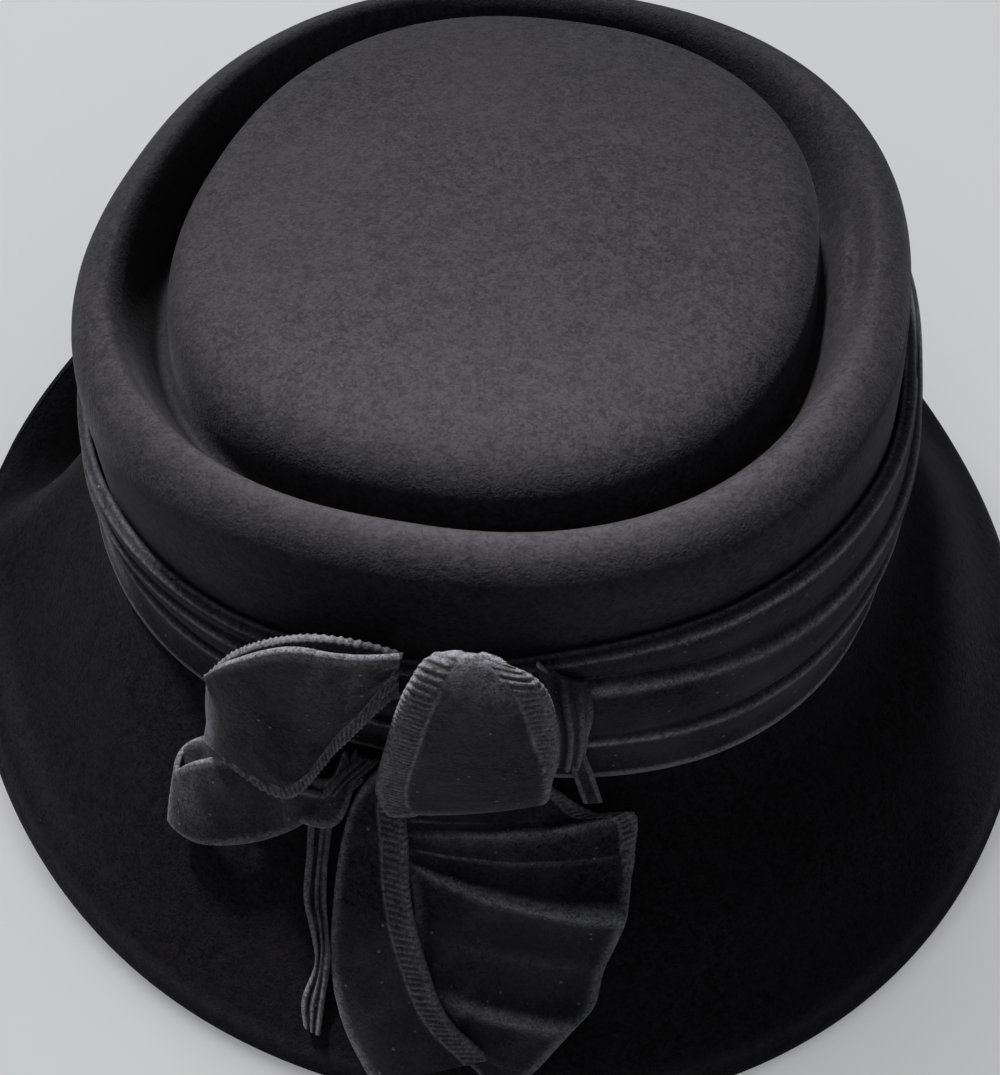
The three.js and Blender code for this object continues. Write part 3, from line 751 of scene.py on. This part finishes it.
def group_tree(name, inputs, outputs):
    """An empty shader node group with named number or vector inputs and named outputs."""
    tree = bpy.data.node_groups.new(name, "ShaderNodeTree")
    for label, kind, default in inputs:
        socket = tree.interface.new_socket(name=label, in_out="INPUT", socket_type=kind)
        if default is not None:
            socket.default_value = default
    for label, kind in outputs:
        tree.interface.new_socket(name=label, in_out="OUTPUT", socket_type=kind)
    return tree, tree.nodes.new("NodeGroupInput"), tree.nodes.new("NodeGroupOutput")


def math_node(tree, operation, first, second):
    node = tree.nodes.new("ShaderNodeMath")
    node.operation = operation
    for socket, value in zip(node.inputs, (first, second)):
        if isinstance(value, bpy.types.NodeSocket):
            tree.links.new(value, socket)
        else:
            socket.default_value = value
    return node.outputs[0]


def scaled(tree, place, factor):
    node = tree.nodes.new("ShaderNodeVectorMath")
    node.operation = "SCALE"
    link(tree, (place, node.inputs[0]), (factor, node.inputs["Scale"]))
    return node.outputs[0]


def noise(tree, place, detail, roughness, distortion):
    node = tree.nodes.new("ShaderNodeTexNoise")
    node.inputs["Scale"].default_value = 1.0
    for label, value in (("Detail", detail), ("Roughness", roughness), ("Distortion", distortion)):
        node.inputs[label].default_value = value
    link(tree, (place, node.inputs["Vector"]))
    return node.outputs["Fac"]


def fibre_group():
    """Matted fibres: masks of light and dark flecks and of broad patches, and the height of the nap."""
    outputs = [(label, "NodeSocketFloat") for label in ("Flecks", "Patches", "Nap")]
    tree, given, result = group_tree("Matted fibres", [("Place", "NodeSocketVector", None),
                                                       ("Size", "NodeSocketFloat", 0.001)], outputs)

    def cloud(rate, detail, roughness, distortion=0.0):
        rate = math_node(tree, "DIVIDE", rate, given.outputs["Size"])
        return noise(tree, scaled(tree, given.outputs["Place"], rate), detail, roughness, distortion)

    fine = math_node(tree, "MULTIPLY", cloud(1.0, 3.0, 0.7, 0.9), 0.7)
    clumps = cloud(0.3, 3.0, 0.6, 0.8)
    flecks = math_node(tree, "ADD", fine, math_node(tree, "MULTIPLY", clumps, 0.3))
    nap = math_node(tree, "ADD", cloud(1.7, 2.0, 0.7), clumps)
    link(tree, (flecks, result.inputs["Flecks"]), (cloud(0.03, 2.0, 0.5), result.inputs["Patches"]),
         (nap, result.inputs["Nap"]))
    return tree


def lint_group():
    """A few light specks of lint: a mask."""
    tree, given, result = group_tree("Lint specks", [("Place", "NodeSocketVector", None),
                                                     ("Spacing", "NodeSocketFloat", 0.01),
                                                     ("Speck", "NodeSocketFloat", 0.02),
                                                     ("Share", "NodeSocketFloat", 0.5)],
                                     [("Mask", "NodeSocketFloat")])
    rate = math_node(tree, "DIVIDE", 1.0, given.outputs["Spacing"])
    place = scaled(tree, given.outputs["Place"], rate)
    cells = tree.nodes.new("ShaderNodeTexVoronoi")
    cells.inputs["Scale"].default_value = 1.0
    link(tree, (place, cells.inputs["Vector"]))
    pick = tree.nodes.new("ShaderNodeSeparateColor")
    link(tree, (cells.outputs["Color"], pick.inputs["Color"]))
    near = math_node(tree, "LESS_THAN", cells.outputs["Distance"],
                     math_node(tree, "MULTIPLY", given.outputs["Speck"], pick.outputs["Green"]))
    chosen = math_node(tree, "LESS_THAN", pick.outputs["Red"], given.outputs["Share"])
    link(tree, (math_node(tree, "MULTIPLY", near, chosen), result.inputs["Mask"]))
    return tree


def placed_group(tree, group, **values):
    node = tree.nodes.new("ShaderNodeGroup")
    node.node_tree = group
    for label, value in values.items():
        if isinstance(value, bpy.types.NodeSocket):
            link(tree, (value, node.inputs[label]))
        else:
            node.inputs[label].default_value = value
    return node


def mix_colour(tree, share, first, second):
    node = tree.nodes.new("ShaderNodeMix")
    node.data_type = "RGBA"
    for socket, value in zip((node.inputs["Factor"], node.inputs[6], node.inputs[7]), (share, first, second)):
        if isinstance(value, bpy.types.NodeSocket):
            link(tree, (value, socket))
        elif hasattr(value, "__len__"):
            socket.default_value = (*value[:3], 1.0)
        else:
            socket.default_value = value
    return node.outputs[2]


def remapped(tree, value, low, high, out_low=0.0, out_high=1.0):
    node = tree.nodes.new("ShaderNodeMapRange")
    for label, number in (("From Min", low), ("From Max", high), ("To Min", out_low), ("To Max", out_high)):
        node.inputs[label].default_value = number
    link(tree, (value, node.inputs["Value"]))
    return node.outputs["Result"]


def bump(tree, height, strength, distance):
    node = tree.nodes.new("ShaderNodeBump")
    node.inputs["Strength"].default_value = strength
    node.inputs["Distance"].default_value = distance
    link(tree, (height, node.inputs["Height"]))
    return node.outputs["Normal"]


def new_material(name):
    material = bpy.data.materials.new(name)
    material.use_nodes = True
    tree = material.node_tree
    place = tree.nodes.new("ShaderNodeTexCoord").outputs["Object"]
    return material, tree, tree.nodes["Principled BSDF"], place


def attribute(tree, name):
    node = tree.nodes.new("ShaderNodeAttribute")
    node.attribute_name = name
    return node.outputs["Fac"]


def finish_cloth(shader, roughness, gloss, sheen, sheen_roughness, tint):
    shader.inputs["Roughness"].default_value = roughness
    shader.inputs["Specular IOR Level"].default_value = gloss
    shader.inputs["Sheen Weight"].default_value = sheen
    shader.inputs["Sheen Roughness"].default_value = sheen_roughness
    shader.inputs["Sheen Tint"].default_value = (*tint, 1.0)


def nap_material(name, felt, base, contrast, lint_colour, depth):
    """Felt whose nap is mottled with light and dark fibres, with painted highlights and painted shade laid on
    by an attribute.
    """
    material, tree, shader, place = new_material(name)
    fibres = placed_group(tree, shared_group("Matted fibres", fibre_group), Place=place, Size=felt.fibre)
    lint = placed_group(tree, shared_group("Lint specks", lint_group), Place=place, Spacing=0.011, Speck=0.03,
                        Share=0.3)
    base = np.array(base)
    flecks = remapped(tree, fibres.outputs["Flecks"], 0.4, 0.6)
    colour = mix_colour(tree, flecks, base * (1 - contrast), base * (1 + contrast))
    paling = remapped(tree, fibres.outputs["Patches"], 0.35, 0.65, 0.0, 0.3)
    colour = mix_colour(tree, paling, colour, base * 1.4)
    # Above 0 the attribute lightens the colour as a painted highlight; below 0 it darkens it as painted
    # shade.
    painted_light_mark = attribute(tree, "painted_highlight_and_shade")
    painted_highlight_and_shade = math_node(tree, "MULTIPLY", painted_light_mark, remapped(tree, flecks, 0, 1, 0.3, 0.75))
    colour = mix_colour(tree, painted_highlight_and_shade, colour, base * 2 + 0.012)
    colour = mix_colour(tree, math_node(tree, "MULTIPLY", painted_light_mark, -1.0), colour, base * 0.12)
    colour = mix_colour(tree, lint.outputs["Mask"], colour, lint_colour)
    link(tree, (colour, shader.inputs["Base Color"]),
         (bump(tree, fibres.outputs["Nap"], depth, 0.0005), shader.inputs["Normal"]))
    return material, shader


def felt_material(felt):
    material, shader = nap_material("Brushed wool felt", felt, felt.colour, 0.5, (0.3, 0.3, 0.31), 0.4)
    finish_cloth(shader, 0.8, 0.1, 0.07, 0.3, felt.fuzz_sheen)
    return material


def brim_material(felt):
    material, shader = nap_material("Long-napped brim felt", felt, felt.brim, 0.7, (0.06, 0.06, 0.062), 0.5)
    finish_cloth(shader, 0.9, 0.06, 0.06, 0.3, felt.fuzz_sheen)
    return material


def velvet_material(velvet):
    material, tree, shader, place = new_material("Black velvet")
    fibres = placed_group(tree, shared_group("Matted fibres", fibre_group), Place=place, Size=0.0006)
    lint = placed_group(tree, shared_group("Lint specks", lint_group), Place=place, Spacing=0.0019,
                        Speck=0.19, Share=0.32)
    base = np.array(velvet.colour)
    flecks = remapped(tree, fibres.outputs["Flecks"], 0.4, 0.6)
    pile = mix_colour(tree, flecks, base * 0.3, base * 1.9)
    brushed = remapped(tree, fibres.outputs["Patches"], 0.35, 0.7, 0.0, 0.55)
    pile = mix_colour(tree, brushed, pile, base * 3)
    # Mixed toward the thread colour: the overlock's real threads, and painted sheen along edges, bends and
    # the sash's fold crests.
    thread_and_sheen = math_node(tree, "MULTIPLY", attribute(tree, "thread_and_sheen"), remapped(tree, flecks, 0, 1, 0.25, 1.0))
    colour = mix_colour(tree, thread_and_sheen, pile, velvet.thread)
    colour = mix_colour(tree, lint.outputs["Mask"], colour, (0.13, 0.13, 0.135))
    link(tree, (colour, shader.inputs["Base Color"]),
         (bump(tree, fibres.outputs["Nap"], 0.45, 0.0003), shader.inputs["Normal"]))
    finish_cloth(shader, 0.9, 0.06, 0.16, 0.22, velvet.sheen)
    return material


def shared_group(name, make):
    return bpy.data.node_groups.get(name) or make()


def cloth_material():
    return bpy.data.materials.get("Black velvet") or velvet_material(bpy.context.scene.cloche_velvet)


class CLOCHE_OT_felt(bpy.types.Operator):
    """Make the felt body: the sunk tip, the rolled ridge, the wall and the brim, in one piece"""
    bl_idname = "cloche.felt"
    bl_label = "Felt Body"

    def execute(self, context):
        felt = context.scene.cloche_felt
        rings = felt_mesh_rings(felt.wall / MM, felt.segments)
        material = felt_material(felt)
        rows = np.minimum(felt_rows(), 2 * EDGE_ROW - felt_rows())
        turn = np.arange(felt.segments) * 360 / felt.segments
        # Painted highlights and painted shade on the felt, carried to its materials by an attribute.
        painted_highlight_and_shade = felt_painted_highlight_and_shade(turn, rows[:, None])
        painted_highlight_and_shade = np.concatenate([painted_highlight_and_shade.ravel(), [0, 0]])
        piece = new_piece("hat_felt", rings, False, "felt_body", material, {"painted_highlight_and_shade": painted_highlight_and_shade}, poles=True)
        piece.data.materials.append(brim_material(felt))
        brim_line = RIDGE_ROW + len(WALL_LINES)
        on_brim = np.zeros(len(piece.data.polygons), np.int32)
        on_brim[:(len(rings) - 1) * felt.segments] = np.repeat(rows[:-1] > brim_line, felt.segments)
        piece.data.polygons.foreach_set("material_index", on_brim)
        return {"FINISHED"}


class CLOCHE_OT_sash(bpy.types.Operator):
    """Make the draped velvet sash round the crown"""
    bl_idname = "cloche.sash"
    bl_label = "Velvet Sash"

    def execute(self, context):
        velvet = context.scene.cloche_velvet
        rings, thread_and_sheen, outside = sash_mesh_rings(velvet.cloth / MM)
        piece = new_piece("sash", rings, True, "velvet_sash", cloth_material(), {"thread_and_sheen": thread_and_sheen})
        return {"FINISHED"}


class CLOCHE_OT_loops(bpy.types.Operator):
    """Make the bow's three loops with their overlocked edges"""
    bl_idname = "cloche.loops"
    bl_label = "Bow Loops"

    def execute(self, context):
        velvet = context.scene.cloche_velvet
        cloth = cloth_material()
        make_ribbon("loop_upper", UPPER_LOOP, ON_SASH, velvet, cloth, "bow_loop_upper", "folded",
                    hems=((0, 0, 0, 0, 0, 0.1, 1.2, 1.7, 1.7), (0.5, 0.5, 0.5, 0.5, 0.3, 0.1, 0.1, 0.1, 0.1)),
                    gather=(0.3, 0.3))
        make_ribbon("loop_lower", LOWER_LOOP, ON_FELT, velvet, cloth, "bow_loop_lower", "folded",
                    hems=(0, 0), hidden=(9, 15))
        make_ribbon("loop_front", FRONT_LOOP, ON_SASH, velvet, cloth, "bow_loop_front", "folded",
                    hems=(1, (0.3, 0.4, 0.8, 0.8, 0.9, 0.8, 0.1, 0.1, 0.1)))
        return {"FINISHED"}


class CLOCHE_OT_tails(bpy.types.Operator):
    """Make the three ribbon ends that hang over the brim"""
    bl_idname = "cloche.tails"
    bl_label = "Bow Tails"

    def execute(self, context):
        velvet = context.scene.cloche_velvet
        cloth = cloth_material()
        base = ON_FELT + velvet.cloth / MM
        make_ribbon("tail_narrow", NARROW_TAIL, base, velvet, cloth, "bow_tail_narrow", "hung",
                    hems=(0, 0), pleats=2, hidden=(16, 0))
        make_ribbon("tail_middle", MIDDLE_TAIL, base, velvet, cloth, "bow_tail_middle", "hung",
                    hems=(0, 1))
        make_ribbon("tail_wide", WIDE_TAIL, base, velvet, cloth, "bow_tail_wide", "hung",
                    hems=(0, (0, 0, 0, 0.9, 0.9, 0.5) + (0,) * 9))
        return {"FINISHED"}


class CLOCHE_OT_knot(bpy.types.Operator):
    """Make the gathered knot and the cloth tucked in below it"""
    bl_idname = "cloche.knot"
    bl_label = "Bow Knot"

    def execute(self, context):
        velvet = context.scene.cloche_velvet
        cloth = cloth_material()
        base = ON_SASH + velvet.cloth / MM
        make_ribbon("knot", KNOT, base, velvet, cloth, "bow_knot", hems=(0, 0), pleats=3)
        make_ribbon("knot_tuck", TUCK, base, velvet, cloth, "bow_tuck", hems=(0, 0))
        return {"FINISHED"}


class CLOCHE_OT_stage(bpy.types.Operator):
    """Set the pale floor, the soft lights and the camera"""
    bl_idname = "cloche.stage"
    bl_label = "Studio Stage"

    def execute(self, context):
        stage = context.scene.cloche_stage
        bpy.ops.object.select_all(action="DESELECT")
        bpy.ops.mesh.primitive_plane_add(size=4.0, location=(0, 0, 0))
        floor = context.active_object
        floor.name = "floor"
        material = bpy.data.materials.new("Pale paper")
        material.use_nodes = True
        shader = material.node_tree.nodes["Principled BSDF"]
        shader.inputs["Base Color"].default_value = (*stage.floor, 1.0)
        shader.inputs["Roughness"].default_value = 0.9
        floor.data.materials.append(material)

        world = bpy.data.worlds.new("Soft room")
        context.scene.world = world
        world.use_nodes = True
        background = world.node_tree.nodes["Background"]
        background.inputs["Color"].default_value = (0.95, 0.97, 1.0, 1.0)
        background.inputs["Strength"].default_value = stage.fill

        add_light("Window light", "AREA", stage.key, (-1.35, 1.25, 2.2), (0, 0, 0.06), shape="RECTANGLE",
                  size=1.8, size_y=1.6)
        above = add_light("Floor light", "AREA", stage.backdrop, (0.35, -0.9, 2.5), (0, 0, 0), size=4.4)
        crown = add_light("Crown light", "SPOT", stage.crown, (-0.66, 0.68, 1.75), (0.026, -0.076, 0.12),
                          spot_size=math.radians(8.4), spot_blend=1.0, shadow_soft_size=0.14)
        for light, state in ((above, "INCLUDE"), (crown, "EXCLUDE")):
            receivers = bpy.data.collections.new(light.name + " receivers")
            receivers.objects.link(floor)
            light.light_linking.receiver_collection = receivers
            receivers.collection_objects[0].light_linking.link_state = state

        right, up, look = (Vector(axis) for axis in (CAMERA_RIGHT, CAMERA_UP, CAMERA_LOOK))
        data = bpy.data.cameras.new("Camera")
        data.sensor_width = SENSOR
        data.lens = LENS_PIXELS * SENSOR / PHOTO_HEIGHT
        data.clip_start = 0.01
        camera = bpy.data.objects.new("Camera", data)
        turned = Matrix((right, up, -look)).transposed().to_4x4()
        turned.translation = Vector((CAMERA_EYE + STAND) * MM)
        camera.matrix_world = turned
        context.collection.objects.link(camera)
        context.scene.camera = camera
        context.scene.view_settings.view_transform = "Standard"
        return {"FINISHED"}


def add_light(name, kind, power, place, target, **settings):
    data = bpy.data.lights.new(name, kind)
    data.energy = power
    for key, value in settings.items():
        setattr(data, key, value)
    light = bpy.data.objects.new(name, data)
    light.location = place
    light.rotation_euler = (Vector(target) - Vector(place)).to_track_quat("-Z", "Y").to_euler()
    bpy.context.collection.objects.link(light)
    return light


class CLOCHE_PT_panel(bpy.types.Panel):
    """Lists the hat's pieces and the values that shape them"""
    bl_idname = "CLOCHE_PT_panel"
    bl_label = "Cloche Hat"
    bl_space_type = "VIEW_3D"
    bl_region_type = "UI"
    bl_category = "Cloche Hat"

    def draw(self, context):
        layout = self.layout
        for group in (context.scene.cloche_felt, context.scene.cloche_velvet, context.scene.cloche_stage):
            box = layout.box()
            for key in group.bl_rna.properties.keys():
                if key not in ("rna_type", "name"):
                    box.prop(group, key)
        for operator in OPERATORS:
            layout.operator(operator.bl_idname)


OPERATORS = (CLOCHE_OT_felt, CLOCHE_OT_knot, CLOCHE_OT_sash, CLOCHE_OT_loops, CLOCHE_OT_tails,
             CLOCHE_OT_stage)
CLASSES = (ClocheFelt, ClocheVelvet, ClocheStage, *OPERATORS, CLOCHE_PT_panel)


def register():
    for cls in CLASSES:
        bpy.utils.register_class(cls)
    bpy.types.Scene.cloche_felt = PointerProperty(type=ClocheFelt)
    bpy.types.Scene.cloche_velvet = PointerProperty(type=ClocheVelvet)
    bpy.types.Scene.cloche_stage = PointerProperty(type=ClocheStage)


def unregister():
    del bpy.types.Scene.cloche_stage
    del bpy.types.Scene.cloche_velvet
    del bpy.types.Scene.cloche_felt
    for cls in reversed(CLASSES):
        bpy.utils.unregister_class(cls)


def main():
    register()
    bpy.ops.cloche.felt()
    bpy.ops.cloche.knot()
    bpy.ops.cloche.sash()
    bpy.ops.cloche.loops()
    bpy.ops.cloche.tails()
    bpy.ops.cloche.stage()


if __name__ == "__main__":
    main()
